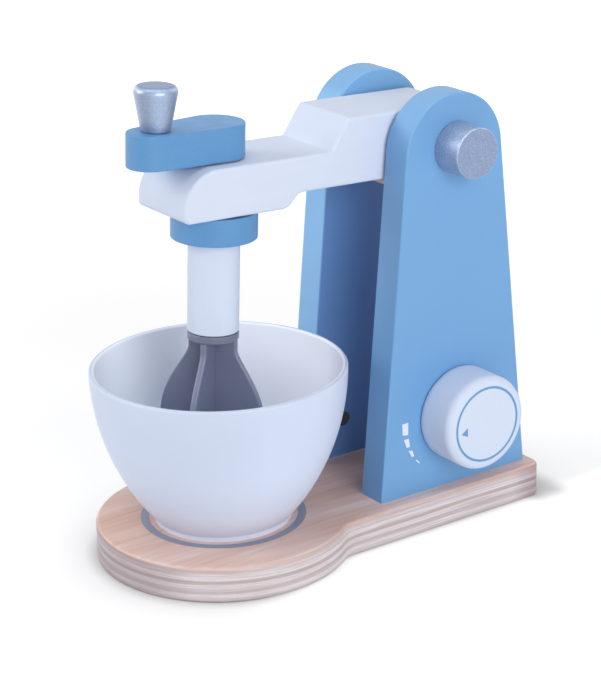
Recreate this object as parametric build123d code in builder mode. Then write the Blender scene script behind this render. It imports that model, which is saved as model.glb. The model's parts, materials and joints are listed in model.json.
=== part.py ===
"""A wooden toy kitchen mixer: plywood base, two side panels, a tilting arm with a hand-cranked
whisk, a loose bowl and a turning dial.

Millimetres, +Z up. The origin is on the floor, in the middle of the base. -Y is the bowl end
and +X is the side with the dial.
"""
import os
from math import atan2, cos, hypot, radians, sin, sqrt, tan

from build123d import *

# ---------------------------------------------------------------- driving dimensions
# Fits
GLUE_GAP = 0.03              # radial room of a dowel that is glued in its hole
RUNNING_GAP = 0.08           # radial room of a shaft that turns in its hole
SLIDE_GAP = 0.1              # flat faces that pass each other
FREE_GAP = 0.3               # pieces that only lie close together
PAINTED_EDGE = 0.5           # rounding of the small painted pieces

# Bowl
BOWL_HEIGHT = 65.0
BOWL_RIM_RADIUS = 51.8
BOWL_WALL = 2.2
BOWL_LIP_FLAT = 0.2          # flat left on top of the rounded rim
BOWL_FOOT_RADIUS = 28.0
BOWL_FOOT_STEP = 0.6         # the curved side starts this far outside the foot
BOWL_FOOT_WIDTH = 2.4
BOWL_FOOT_HEIGHT = 2.2
BOWL_FLOOR = 2.4

# Base plate: a round front end under the bowl and a straight rear end under the panels
BASE_THICKNESS = 15.0
DISC_MARGIN = 0.2            # the round end is this much larger than the rim of the bowl
REAR_SIDE_MARGIN = 7.2       # beside the panels
REAR_END_MARGIN = 3.9        # behind the panels
NECK_RADIUS = 14.0           # inner curve where the disc meets the straight sides
REAR_CORNER_RADIUS = 5.0
BASE_EDGE = 1.5

# Side panels
PANEL_THICKNESS = 14.0
PANEL_FOOT_LENGTH = 76.4
PANEL_TOP_RADIUS = 24.2
PANEL_EDGE = 0.8
PANEL_ARC_DROP = 2.2         # middle of the rounded top, below the tilt axis
BOWL_TO_PANELS = 4.4         # between the rim of the bowl and the feet, seen from above
PIVOT_OVER_RIM = 80.0        # height of the tilt axis above the rim of the bowl
STOP_DOWEL_RADIUS = 2.5
STOP_DOWEL_REACH = 15.6      # in front of the tilt axis
STOP_DOWEL_DEPTH = 7.0       # in each panel
PLUG_RADIUS = 3.2
PLUG_AHEAD = 19.4            # in front of the middle of the panel
PLUG_RISE = 16.8             # above the base plate
PLUG_DEPTH = 4.0
PLUG_PROUD = 0.4

# Wood screws and locating dowels under the panels
SCREW_RADIUS = 1.75
SCREW_HEAD_RADIUS = 3.7
SCREW_IN_PANEL = 18.6
SCREW_SINK = 0.6             # heads lie this deep in the base plate
SCREW_INSET = 12.2           # from the ends of a foot
SCREW_POINT = 0.2            # width of the point, as a share of the thread
DOWEL_RADIUS = 4.0
DOWEL_IN_BASE = 9.0
DOWEL_IN_PANEL = 12.0

# Cross recess of a screw: its span as a share of the head, the rest as shares of the thread
RECESS_SPAN = 1.1
RECESS_WIDTH = 0.4
RECESS_DEPTH = 0.8

# Arm, in its own level frame: distances back from the tilt axis and up from it
ARM_REST_TILT = 2.9          # degrees, nose up, as it lies on the stop dowel
ARM_WIDTH = 34.4
ARM_NOSE_OVERHANG = 24.3     # in front of the spindle
ARM_TAIL = 25.5
ARM_FRONT_TOP = 0.6
ARM_FRONT_BOTTOM = -19.5
ARM_REAR_TOP = 13.2
ARM_REAR_BOTTOM = -13.8
ARM_STEP_BEHIND_COLLAR = 6.8 # where the step in the underside begins
ARM_STEP_RUN = 4.0
ARM_STEP_FLAT = 0.5          # straight bit between the two curves of the step
ARM_RAMP_CLEARANCE = 3.4     # between the sweep of the crank and the foot of the ramp
ARM_RAMP_RUN = 8.3
ARM_NOSE_FLAT = 2.6          # straight bit between the curves of the nose
ARM_TAIL_FLAT = 0.3
ARM_CHIN_RADIUS = 2.5
ARM_SHOULDER_RADIUS = 2.2
ARM_NOTCH_RADIUS = 1.2
ARM_EDGE = 1.2

# Tilt axle with its silver knobs
AXLE_RADIUS = 5.0
PIVOT_KNOB_RADIUS = 10.4
PIVOT_KNOB_LENGTH = 14.2     # from the face of the panel
PIVOT_KNOB_BORE = 10.0
PIVOT_KNOB_EDGE = 0.6
PIVOT_WASHER_RADIUS = 9.0
PIVOT_WASHER_THICKNESS = 1.5

# Spindle: crank on top, collar, shaft and whisk below
SPINDLE_SETBACK = 1.5        # behind the middle of the bowl, when the arm is level
SPINDLE_RADIUS = 5.0
SPINDLE_IN_CRANK = 9.0
SPINDLE_IN_SHAFT = 18.0
SPINDLE_WASHER_THICKNESS = 0.5
SPINDLE_WASHER_RADIUS = 9.5
CRANK_THICKNESS = 13.6
CRANK_HUB_RADIUS = 11.8
CRANK_END_RADIUS = 9.0
CRANK_LENGTH = 31.2          # from the spindle axis to the middle of the small end
CRANK_ANGLE = 3.8            # degrees at rest, from straight ahead towards the dial side
COLLAR_RADIUS = 17.2
COLLAR_HEIGHT = 11.0
SHAFT_RADIUS = 10.3
SHAFT_OVER_RIM = 10.6        # end of the shaft above the rim of the bowl, when the arm is level
SHAFT_EDGE = 0.5

# Crank knob
KNOB_SETBACK = 3.0           # from the middle of the small end towards the spindle
KNOB_FOOT_RADIUS = 5.8
KNOB_TOP_RADIUS = 9.1
KNOB_HEIGHT = 17.3
KNOB_TOP_EDGE = 2.4
KNOB_SCREW_RADIUS = 1.5
KNOB_SCREW_HEAD_RADIUS = 3.0
KNOB_SCREW_IN_KNOB = 11.0

# Whisk: two crossed blades under a ring, with a peg in the shaft
WHISK_RING_HEIGHT = 3.1
WHISK_BLADE_THICKNESS = 2.6
WHISK_NECK = 4.0             # straight part of the blades under the ring
WHISK_NECK_PULL = 0.45       # how long the outline keeps its direction below the neck
WHISK_BELLY_PULL = 1.35      # and above the belly
WHISK_BELLY_RADIUS = 22.4
WHISK_BELLY_DROP = 34.0      # below the ring
WHISK_TIP_DROP = 12.5        # below the belly
WHISK_TIP_RADIUS = 12.5
WHISK_BLADE_EDGE = 0.8
WHISK_RING_EDGE = 0.5
WHISK_PEG_RADIUS = 4.0
WHISK_PEG_LENGTH = 13.0      # in the shaft
WHISK_ANGLE = -56.0          # degrees, direction of the front blade at rest

# Dial
DIAL_RADIUS = 20.0
DIAL_PROUD = 19.0            # front face of the dial, from the face of the panel
DIAL_BEHIND = 1.8            # behind the middle of the panel
DIAL_RISE = 31.4             # above the base plate
DIAL_EDGE = 3.0
DIAL_BACK_EDGE = 1.0
DIAL_SCREW_RADIUS = 2.0
DIAL_SCREW_HEAD_RADIUS = 4.0
DIAL_SCREW_HEAD_HEIGHT = 2.4
DIAL_SCREW_IN_DIAL = 13.0
DIAL_WASHER_RADIUS = 6.5
DIAL_WASHER_THICKNESS = 1.0

# ---------------------------------------------------------------- places worked out from them
# From front to rear
DISC_RADIUS = BOWL_RIM_RADIUS + DISC_MARGIN
PANEL_HALF_FOOT = PANEL_FOOT_LENGTH / 2
BOWL_TO_PIVOT = BOWL_RIM_RADIUS + BOWL_TO_PANELS + PANEL_HALF_FOOT
BASE_LENGTH = DISC_RADIUS + BOWL_TO_PIVOT + PANEL_HALF_FOOT + REAR_END_MARGIN
BOWL_Y = DISC_RADIUS - BASE_LENGTH / 2
PIVOT_Y = BOWL_Y + BOWL_TO_PIVOT           # the panels have their middle here too
DIAL_Y = PIVOT_Y + DIAL_BEHIND
PLUG_Y = PIVOT_Y - PLUG_AHEAD

# Across
PANEL_INNER_X = ARM_WIDTH / 2 + PIVOT_WASHER_THICKNESS + SLIDE_GAP
PANEL_OUTER_X = PANEL_INNER_X + PANEL_THICKNESS
PANEL_MIDDLE_X = PANEL_INNER_X + PANEL_THICKNESS / 2
REAR_WIDTH = 2 * (PANEL_OUTER_X + REAR_SIDE_MARGIN)

# Up
BOWL_RIM_Z = BASE_THICKNESS + BOWL_HEIGHT
PIVOT_Z = BOWL_RIM_Z + PIVOT_OVER_RIM
PANEL_ARC_Z = PIVOT_Z - PANEL_ARC_DROP
DIAL_Z = BASE_THICKNESS + DIAL_RISE
PLUG_Z = BASE_THICKNESS + PLUG_RISE

# Along the arm, back from the tilt axis
SPINDLE_REACH = BOWL_TO_PIVOT - SPINDLE_SETBACK
ARM_NOSE = -SPINDLE_REACH - ARM_NOSE_OVERHANG
STEP_FRONT = -SPINDLE_REACH + COLLAR_RADIUS + ARM_STEP_BEHIND_COLLAR
STEP_REAR = STEP_FRONT + ARM_STEP_RUN
RAMP_FOOT = -SPINDLE_REACH + CRANK_LENGTH + CRANK_END_RADIUS + ARM_RAMP_CLEARANCE
RAMP_TOP = RAMP_FOOT + ARM_RAMP_RUN

# Along the spindle, up from the level of the tilt axis
CRANK_BOTTOM = ARM_FRONT_TOP + SPINDLE_WASHER_THICKNESS + SLIDE_GAP
CRANK_TOP = CRANK_BOTTOM + CRANK_THICKNESS
KNOB_BOTTOM = CRANK_TOP + FREE_GAP
COLLAR_TOP = ARM_FRONT_BOTTOM - SPINDLE_WASHER_THICKNESS - SLIDE_GAP
COLLAR_BOTTOM = COLLAR_TOP - COLLAR_HEIGHT
SHAFT_BOTTOM = SHAFT_OVER_RIM - PIVOT_OVER_RIM
RING_TOP = SHAFT_BOTTOM - FREE_GAP
RING_BOTTOM = RING_TOP - WHISK_RING_HEIGHT

TILT = radians(ARM_REST_TILT)
ARM_BACK = (0, cos(TILT), -sin(TILT))
ARM_UP = (0, sin(TILT), cos(TILT))
BOTTOM = (Align.CENTER, Align.CENTER, Align.MIN)


def arm_point(back, up, x=0.0):
    """A point given in the level frame of the arm, in the frame of the whole toy."""
    y = PIVOT_Y + back * cos(TILT) + up * sin(TILT)
    z = PIVOT_Z - back * sin(TILT) + up * cos(TILT)
    return (x, y, z)


def spindle_level(up, across=(0, 0)):
    """The plane square to the spindle at this height, its origin moved across, X to the dial side."""
    level = Plane(origin=arm_point(-SPINDLE_REACH, up), x_dir=(1, 0, 0), z_dir=ARM_UP)
    return Plane(origin=level.from_local_coords(across), x_dir=(1, 0, 0), z_dir=ARM_UP)


def spindle_section(turn):
    """The plane through the spindle axis whose X axis is turned by this angle from the dial side."""
    across = Vector(1, 0, 0).rotate(Axis((0, 0, 0), ARM_UP), turn)
    return Plane(origin=arm_point(-SPINDLE_REACH, 0), x_dir=across, z_dir=across.cross(Vector(*ARM_UP)))


def facing_right(x, y, z):
    """The plane that looks to the dial side, with its X axis to the rear and its Y axis up."""
    return Plane(origin=(x, y, z), x_dir=(0, 1, 0), z_dir=(1, 0, 0))


def facing_left(x, y, z):
    """The plane that looks away from the dial side, with its X axis to the front."""
    return Plane(origin=(x, y, z), x_dir=(0, -1, 0), z_dir=(-1, 0, 0))


def along_crank(reach):
    """A point this far out from the spindle axis, in a plane square to the spindle."""
    return (reach * sin(radians(CRANK_ANGLE)), -reach * cos(radians(CRANK_ANGLE)))


spindle_axis = Axis(spindle_level(0).origin, ARM_UP)
crank_end = along_crank(CRANK_LENGTH)
knob_centre = along_crank(CRANK_LENGTH - KNOB_SETBACK)
dowel_places = [(-PANEL_MIDDLE_X, PIVOT_Y), (PANEL_MIDDLE_X, PIVOT_Y)]
screw_places = []
for x, y in dowel_places:
    for offset in (SCREW_INSET - PANEL_HALF_FOOT, PANEL_HALF_FOOT - SCREW_INSET):
        screw_places.append((x, y + offset))
stop_dowel_axis = arm_point(-STOP_DOWEL_REACH, ARM_REAR_BOTTOM - STOP_DOWEL_RADIUS - SLIDE_GAP)


# ---------------------------------------------------------------- shared shapes
def wood_screw(planes, radius, head_radius, length):
    """Countersunk cross-head screws. Each plane lies on a head and points to its tip."""
    head_height = head_radius - radius
    tip_height = 2 * radius
    recess_depth = RECESS_DEPTH * radius
    with BuildPart() as screw:
        with Locations(*planes):
            Cone(head_radius, radius, head_height, align=BOTTOM)
        with Locations(*[plane.offset(head_height) for plane in planes]):
            Cylinder(radius, length - head_height - tip_height, align=BOTTOM)
        with Locations(*[plane.offset(length - tip_height) for plane in planes]):
            Cone(radius, SCREW_POINT * radius, tip_height, align=BOTTOM)
        with Locations(*planes):
            for quarter in (0, 90):
                Box(RECESS_SPAN * head_radius, RECESS_WIDTH * radius, recess_depth,
                    rotation=(0, 0, quarter), align=BOTTOM, mode=Mode.SUBTRACT)
    return screw


def washer(plane, outer_radius, bore_radius, thickness):
    """A flat ring on a plane."""
    with BuildPart() as ring:
        with BuildSketch(plane):
            Circle(outer_radius)
            Circle(bore_radius, mode=Mode.SUBTRACT)
        extrude(amount=thickness)
    return ring


def save(piece, name):
    """Label a finished piece and write it to its own file."""
    piece.part.label = name
    export_step(piece.part, f"parts/{name}.step")


os.makedirs("parts", exist_ok=True)

# ---------------------------------------------------------------- base plate
base_rear = BASE_LENGTH / 2
screws_from_below = [Plane(origin=(x, y, 0), z_dir=(0, 0, -1)) for x, y in screw_places]

with BuildPart() as base_plate:
    with BuildSketch(Plane.XY) as base_outline:
        with Locations((0, BOWL_Y)):
            Circle(DISC_RADIUS)
        with Locations((0, (BOWL_Y + base_rear) / 2)):
            Rectangle(REAR_WIDTH, base_rear - BOWL_Y)
        fillet(base_outline.vertices().group_by(Axis.Y)[0], NECK_RADIUS)
        fillet(base_outline.vertices().group_by(Axis.Y)[-1], REAR_CORNER_RADIUS)
    extrude(amount=BASE_THICKNESS)
    fillet(base_plate.faces().filter_by(Axis.Z).edges(), BASE_EDGE)
    with Locations(*screws_from_below):
        CounterSinkHole(SCREW_RADIUS + RUNNING_GAP, SCREW_HEAD_RADIUS + SCREW_SINK)
    with Locations(*[(x, y, BASE_THICKNESS) for x, y in dowel_places]):
        Hole(DOWEL_RADIUS + GLUE_GAP, DOWEL_IN_BASE + GLUE_GAP)
save(base_plate, "base_plate")

# ---------------------------------------------------------------- side panels
for name, side in (("left_side_panel", -1), ("right_side_panel", 1)):
    low_x = min(side * PANEL_INNER_X, side * PANEL_OUTER_X)
    inner_face = facing_left if side > 0 else facing_right
    foot_screws = [Plane(origin=(x, y, BASE_THICKNESS), z_dir=(0, 0, -1)) for x, y in screw_places
                   if x * side > 0]
    foot_dowel = Plane(origin=(side * PANEL_MIDDLE_X, PIVOT_Y, BASE_THICKNESS), z_dir=(0, 0, -1))
    with BuildPart() as panel:
        with BuildSketch(facing_right(low_x, PIVOT_Y, 0)):
            with BuildLine():
                Line((-PANEL_HALF_FOOT, BASE_THICKNESS), (PANEL_HALF_FOOT, BASE_THICKNESS))
                CenterArc((0, PANEL_ARC_Z), PANEL_TOP_RADIUS, 0, 360)
            make_hull()
        extrude(amount=PANEL_THICKNESS)
        rims = panel.faces().filter_by(Axis.X).edges()
        foot_edges = rims.group_by(Axis.Z)[0]
        fillet([edge for edge in rims if edge not in foot_edges], PANEL_EDGE)
        with Locations(facing_right(side * PANEL_OUTER_X, PIVOT_Y, PIVOT_Z)):
            Hole(AXLE_RADIUS + RUNNING_GAP)
        with Locations(*foot_screws):
            Hole(SCREW_RADIUS, SCREW_IN_PANEL + GLUE_GAP)
        with Locations(foot_dowel):
            Hole(DOWEL_RADIUS + GLUE_GAP, DOWEL_IN_PANEL + GLUE_GAP)
        with Locations(inner_face(side * PANEL_INNER_X, stop_dowel_axis[1], stop_dowel_axis[2])):
            Hole(STOP_DOWEL_RADIUS + GLUE_GAP, STOP_DOWEL_DEPTH + GLUE_GAP)
        if side > 0:
            with Locations(facing_right(PANEL_OUTER_X, DIAL_Y, DIAL_Z)):
                Hole(DIAL_SCREW_RADIUS + RUNNING_GAP)
        else:
            with Locations(facing_right(-PANEL_INNER_X, PLUG_Y, PLUG_Z)):
                Hole(PLUG_RADIUS + GLUE_GAP, PLUG_DEPTH + GLUE_GAP)
    save(panel, name)

# ---------------------------------------------------------------- what holds the panels
panel_screws = wood_screw(
    [Plane(origin=(x, y, SCREW_SINK), z_dir=(0, 0, 1)) for x, y in screw_places],
    SCREW_RADIUS, SCREW_HEAD_RADIUS, BASE_THICKNESS + SCREW_IN_PANEL - SCREW_SINK)
save(panel_screws, "panel_screws")

with BuildPart() as panel_dowels:
    with Locations(*[(x, y, BASE_THICKNESS - DOWEL_IN_BASE) for x, y in dowel_places]):
        Cylinder(DOWEL_RADIUS, DOWEL_IN_BASE + DOWEL_IN_PANEL, align=BOTTOM)
save(panel_dowels, "panel_dowels")

with BuildPart() as arm_stop_dowel:
    with BuildSketch(facing_right(0, stop_dowel_axis[1], stop_dowel_axis[2])):
        Circle(STOP_DOWEL_RADIUS)
    extrude(amount=PANEL_INNER_X + STOP_DOWEL_DEPTH, both=True)
save(arm_stop_dowel, "arm_stop_dowel")

with BuildPart() as left_panel_plug:
    with BuildSketch(facing_right(-PANEL_INNER_X - PLUG_DEPTH, PLUG_Y, PLUG_Z)):
        Circle(PLUG_RADIUS)
    extrude(amount=PLUG_DEPTH + PLUG_PROUD)
    fillet(left_panel_plug.faces().sort_by(Axis.X)[-1].edges(), PLUG_PROUD / 2)
save(left_panel_plug, "left_panel_plug")

# ---------------------------------------------------------------- arm
step_height = ARM_REAR_BOTTOM - ARM_FRONT_BOTTOM
step_slant = hypot(ARM_STEP_RUN, step_height)
step_bend = atan2(step_height, ARM_STEP_RUN)
step_radius = (step_slant - ARM_STEP_FLAT) / 2 / tan(step_bend / 2)
nose_radius = ARM_FRONT_TOP - ARM_FRONT_BOTTOM - ARM_CHIN_RADIUS - ARM_NOSE_FLAT
tail_radius = (ARM_REAR_TOP - ARM_REAR_BOTTOM - ARM_TAIL_FLAT) / 2
arm_corners = [
    ((ARM_NOSE, ARM_FRONT_BOTTOM), ARM_CHIN_RADIUS),
    ((STEP_FRONT, ARM_FRONT_BOTTOM), step_radius),
    ((STEP_REAR, ARM_REAR_BOTTOM), step_radius),
    ((ARM_TAIL, ARM_REAR_BOTTOM), tail_radius),
    ((ARM_TAIL, ARM_REAR_TOP), tail_radius),
    ((RAMP_TOP, ARM_REAR_TOP), ARM_SHOULDER_RADIUS),
    ((RAMP_FOOT, ARM_FRONT_TOP), ARM_NOTCH_RADIUS),
    ((ARM_NOSE, ARM_FRONT_TOP), nose_radius),
]
arm_side = Plane(origin=arm_point(0, 0, -ARM_WIDTH / 2), x_dir=ARM_BACK, z_dir=(1, 0, 0))

with BuildPart() as arm:
    with BuildSketch(arm_side):
        with BuildLine():
            FilletPolyline(*[corner for corner, radius in arm_corners],
                           radius=[radius for corner, radius in arm_corners], close=True)
        make_face()
    extrude(amount=ARM_WIDTH)
    fillet(arm.faces().filter_by(Axis.X).edges(), ARM_EDGE)
    with Locations(facing_right(ARM_WIDTH / 2, PIVOT_Y, PIVOT_Z)):
        Hole(AXLE_RADIUS + GLUE_GAP)
    with Locations(spindle_level(ARM_FRONT_TOP)):
        Hole(SPINDLE_RADIUS + RUNNING_GAP)
save(arm, "arm")

# ---------------------------------------------------------------- tilt axle, knobs and washers
with BuildPart() as arm_axle:
    with BuildSketch(facing_right(0, PIVOT_Y, PIVOT_Z)):
        Circle(AXLE_RADIUS)
    extrude(amount=PANEL_OUTER_X + FREE_GAP + PIVOT_KNOB_BORE, both=True)
save(arm_axle, "arm_axle")

knob_back = PANEL_OUTER_X + FREE_GAP
for name, plane in (("left_axle_knob", facing_left(-knob_back, PIVOT_Y, PIVOT_Z)),
                    ("right_axle_knob", facing_right(knob_back, PIVOT_Y, PIVOT_Z))):
    with BuildPart() as axle_knob:
        with BuildSketch(plane):
            Circle(PIVOT_KNOB_RADIUS)
        extrude(amount=PIVOT_KNOB_LENGTH - FREE_GAP)
        ends = axle_knob.faces().filter_by(Axis.X).sort_by(SortBy.DISTANCE)
        fillet(ends[-1].edges(), PIVOT_KNOB_EDGE)
        with BuildSketch(plane):
            Circle(AXLE_RADIUS + GLUE_GAP)
        extrude(amount=PIVOT_KNOB_BORE + GLUE_GAP, mode=Mode.SUBTRACT)
    save(axle_knob, name)

for name, plane in (("left_axle_washer", facing_left(-ARM_WIDTH / 2, PIVOT_Y, PIVOT_Z)),
                    ("right_axle_washer", facing_right(ARM_WIDTH / 2, PIVOT_Y, PIVOT_Z))):
    axle_washer = washer(plane, PIVOT_WASHER_RADIUS, AXLE_RADIUS + GLUE_GAP, PIVOT_WASHER_THICKNESS)
    save(axle_washer, name)

# ---------------------------------------------------------------- crank and its knob
knob_screw_level = CRANK_BOTTOM + SLIDE_GAP
knob_screw_head_height = KNOB_SCREW_HEAD_RADIUS - KNOB_SCREW_RADIUS
with BuildPart() as crank:
    with BuildSketch(spindle_level(CRANK_BOTTOM)):
        with BuildLine():
            CenterArc((0, 0), CRANK_HUB_RADIUS, 0, 360)
            CenterArc(crank_end, CRANK_END_RADIUS, 0, 360)
        make_hull()
    extrude(amount=CRANK_THICKNESS)
    fillet(crank.faces().filter_by(spindle_axis).edges(), PAINTED_EDGE)
    with BuildSketch(spindle_level(CRANK_BOTTOM)):
        Circle(SPINDLE_RADIUS + GLUE_GAP)
    extrude(amount=SPINDLE_IN_CRANK + GLUE_GAP, mode=Mode.SUBTRACT)
    with BuildSketch(spindle_level(CRANK_BOTTOM, knob_centre)):
        Circle(KNOB_SCREW_RADIUS + RUNNING_GAP)
    extrude(amount=CRANK_THICKNESS, mode=Mode.SUBTRACT)
    with Locations(spindle_level(CRANK_BOTTOM, knob_centre)):
        Cone(KNOB_SCREW_HEAD_RADIUS + FREE_GAP, KNOB_SCREW_RADIUS + RUNNING_GAP,
             knob_screw_head_height + FREE_GAP, align=BOTTOM, mode=Mode.SUBTRACT)
save(crank, "crank")

crank_knob_screw = wood_screw(
    [spindle_level(knob_screw_level, knob_centre)],
    KNOB_SCREW_RADIUS, KNOB_SCREW_HEAD_RADIUS, KNOB_BOTTOM - knob_screw_level + KNOB_SCREW_IN_KNOB)
save(crank_knob_screw, "crank_knob_screw")

knob_foot = spindle_level(KNOB_BOTTOM, knob_centre)
knob_section = Plane(origin=knob_foot.origin, x_dir=(1, 0, 0), z_dir=spindle_section(0).z_dir)
with BuildPart() as crank_knob:
    with BuildSketch(knob_section) as knob_profile:
        with BuildLine():
            Polyline((0, 0), (KNOB_FOOT_RADIUS, 0), (KNOB_TOP_RADIUS, KNOB_HEIGHT), (0, KNOB_HEIGHT),
                     close=True)
        make_face()
        fillet(knob_profile.vertices().sort_by(Axis.X)[-1], KNOB_TOP_EDGE)
    revolve(axis=Axis(knob_foot.origin, ARM_UP))
    with BuildSketch(knob_foot):
        Circle(KNOB_SCREW_RADIUS)
    extrude(amount=KNOB_SCREW_IN_KNOB + GLUE_GAP, mode=Mode.SUBTRACT)
save(crank_knob, "crank_knob")

# ---------------------------------------------------------------- spindle
for name, level in (("crank_washer", CRANK_BOTTOM - SPINDLE_WASHER_THICKNESS), ("collar_washer", COLLAR_TOP)):
    spindle_washer = washer(spindle_level(level), SPINDLE_WASHER_RADIUS, SPINDLE_RADIUS + GLUE_GAP,
                            SPINDLE_WASHER_THICKNESS)
    save(spindle_washer, name)

with BuildPart() as spindle_dowel:
    with BuildSketch(spindle_level(COLLAR_TOP - SPINDLE_IN_SHAFT)):
        Circle(SPINDLE_RADIUS)
    extrude(amount=SPINDLE_IN_SHAFT + CRANK_BOTTOM - COLLAR_TOP + SPINDLE_IN_CRANK)
save(spindle_dowel, "spindle_dowel")

with BuildPart() as spindle_collar:
    with BuildSketch(spindle_level(COLLAR_BOTTOM)):
        Circle(COLLAR_RADIUS)
    extrude(amount=COLLAR_HEIGHT)
    fillet(spindle_collar.edges(), PAINTED_EDGE)
    with BuildSketch(spindle_level(COLLAR_BOTTOM)):
        Circle(SHAFT_RADIUS + GLUE_GAP)
    extrude(amount=COLLAR_HEIGHT, mode=Mode.SUBTRACT)
save(spindle_collar, "spindle_collar")

with BuildPart() as spindle_shaft:
    with BuildSketch(spindle_level(SHAFT_BOTTOM)):
        Circle(SHAFT_RADIUS)
    extrude(amount=COLLAR_TOP - SHAFT_BOTTOM)
    fillet(spindle_shaft.edges().group_by(Axis.Z)[0], SHAFT_EDGE)
    with BuildSketch(spindle_level(COLLAR_TOP)):
        Circle(SPINDLE_RADIUS + GLUE_GAP)
    extrude(amount=-SPINDLE_IN_SHAFT - GLUE_GAP, mode=Mode.SUBTRACT)
    with BuildSketch(spindle_level(SHAFT_BOTTOM)):
        Circle(WHISK_PEG_RADIUS + GLUE_GAP)
    extrude(amount=WHISK_PEG_LENGTH + GLUE_GAP, mode=Mode.SUBTRACT)
save(spindle_shaft, "spindle_shaft")

# ---------------------------------------------------------------- whisk
blade_neck = RING_BOTTOM - WHISK_NECK
blade_belly = RING_BOTTOM - WHISK_BELLY_DROP
blade_tip = blade_belly - WHISK_TIP_DROP

with BuildPart() as whisk_blade:
    with BuildSketch(spindle_section(WHISK_ANGLE)):
        with BuildLine():
            belly = Spline((SHAFT_RADIUS, blade_neck), (WHISK_BELLY_RADIUS, blade_belly),
                           tangents=((0, -1), (0, -1)),
                           tangent_scalars=(WHISK_NECK_PULL, WHISK_BELLY_PULL))
            tip = Spline(belly @ 1, (WHISK_TIP_RADIUS, blade_tip), tangents=((0, -1), (-1, 0)))
            Line(tip @ 1, (0, blade_tip))
            Line((0, blade_tip), (0, RING_BOTTOM))
            Line((0, RING_BOTTOM), (SHAFT_RADIUS, RING_BOTTOM))
            Line((SHAFT_RADIUS, RING_BOTTOM), belly @ 0)
        make_face()
        mirror(about=Plane.YZ)
    extrude(amount=WHISK_BLADE_THICKNESS / 2, both=True)
    blade_outline = whisk_blade.faces().sort_by(SortBy.AREA)[-2:].edges()
    blade_top = blade_outline.group_by(spindle_axis)[-1]
    fillet([edge for edge in blade_outline if edge not in blade_top], WHISK_BLADE_EDGE)

with BuildPart() as whisk:
    with BuildSketch(spindle_level(RING_BOTTOM)):
        Circle(SHAFT_RADIUS)
    extrude(amount=WHISK_RING_HEIGHT)
    fillet(whisk.edges(), WHISK_RING_EDGE)
    with BuildSketch(spindle_level(RING_TOP)):
        Circle(WHISK_PEG_RADIUS)
    extrude(amount=FREE_GAP + WHISK_PEG_LENGTH)
    add(whisk_blade.part)
    add(whisk_blade.part.rotate(spindle_axis, 90))
save(whisk, "whisk")

# ---------------------------------------------------------------- bowl
bowl_body_z = BASE_THICKNESS + BOWL_FOOT_HEIGHT
bowl_floor_z = bowl_body_z + BOWL_FLOOR
bowl_base_radius = BOWL_FOOT_RADIUS + BOWL_FOOT_STEP
side_rise = BOWL_RIM_Z - bowl_body_z
side_flare = BOWL_RIM_RADIUS - bowl_base_radius
# In section the side is one arc, upright at the rim, with its middle level with the rim.
outer_side_radius = (side_rise ** 2 + side_flare ** 2) / (2 * side_flare)
inner_side_radius = outer_side_radius - BOWL_WALL
side_middle = BOWL_RIM_RADIUS - outer_side_radius
inner_rim_radius = BOWL_RIM_RADIUS - BOWL_WALL
inner_floor_radius = side_middle + sqrt(inner_side_radius ** 2 - (BOWL_RIM_Z - bowl_floor_z) ** 2)

with BuildPart() as bowl:
    with BuildSketch(Plane(origin=(0, BOWL_Y, 0), x_dir=(1, 0, 0), z_dir=(0, -1, 0))) as bowl_profile:
        with BuildLine():
            Line((0, bowl_body_z), (bowl_base_radius, bowl_body_z))
            RadiusArc((bowl_base_radius, bowl_body_z), (BOWL_RIM_RADIUS, BOWL_RIM_Z), -outer_side_radius)
            Line((BOWL_RIM_RADIUS, BOWL_RIM_Z), (inner_rim_radius, BOWL_RIM_Z))
            RadiusArc((inner_rim_radius, BOWL_RIM_Z), (inner_floor_radius, bowl_floor_z), inner_side_radius)
            Line((inner_floor_radius, bowl_floor_z), (0, bowl_floor_z))
            Line((0, bowl_floor_z), (0, bowl_body_z))
        make_face()
        fillet(bowl_profile.vertices().group_by(Axis.Y)[-1], (BOWL_WALL - BOWL_LIP_FLAT) / 2)
    revolve(axis=Axis((0, BOWL_Y, 0), (0, 0, 1)))
    with BuildSketch(Plane.XY.offset(BASE_THICKNESS)):
        with Locations((0, BOWL_Y)):
            Circle(BOWL_FOOT_RADIUS)
            Circle(BOWL_FOOT_RADIUS - BOWL_FOOT_WIDTH, mode=Mode.SUBTRACT)
    extrude(amount=BOWL_FOOT_HEIGHT)
save(bowl, "bowl")

# ---------------------------------------------------------------- dial
dial_back = PANEL_OUTER_X + FREE_GAP
with BuildPart() as dial:
    with BuildSketch(facing_right(dial_back, DIAL_Y, DIAL_Z)):
        Circle(DIAL_RADIUS)
    extrude(amount=DIAL_PROUD - FREE_GAP)
    fillet(dial.edges().sort_by(Axis.X)[-1], DIAL_EDGE)
    fillet(dial.edges().sort_by(Axis.X)[0], DIAL_BACK_EDGE)
    with BuildSketch(facing_right(dial_back, DIAL_Y, DIAL_Z)):
        Circle(DIAL_SCREW_RADIUS)
    extrude(amount=DIAL_SCREW_IN_DIAL + GLUE_GAP, mode=Mode.SUBTRACT)
save(dial, "dial")

washer_x = PANEL_INNER_X - SLIDE_GAP - DIAL_WASHER_THICKNESS
dial_washer = washer(facing_right(washer_x, DIAL_Y, DIAL_Z), DIAL_WASHER_RADIUS,
                     DIAL_SCREW_RADIUS + GLUE_GAP, DIAL_WASHER_THICKNESS)
save(dial_washer, "dial_washer")

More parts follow.
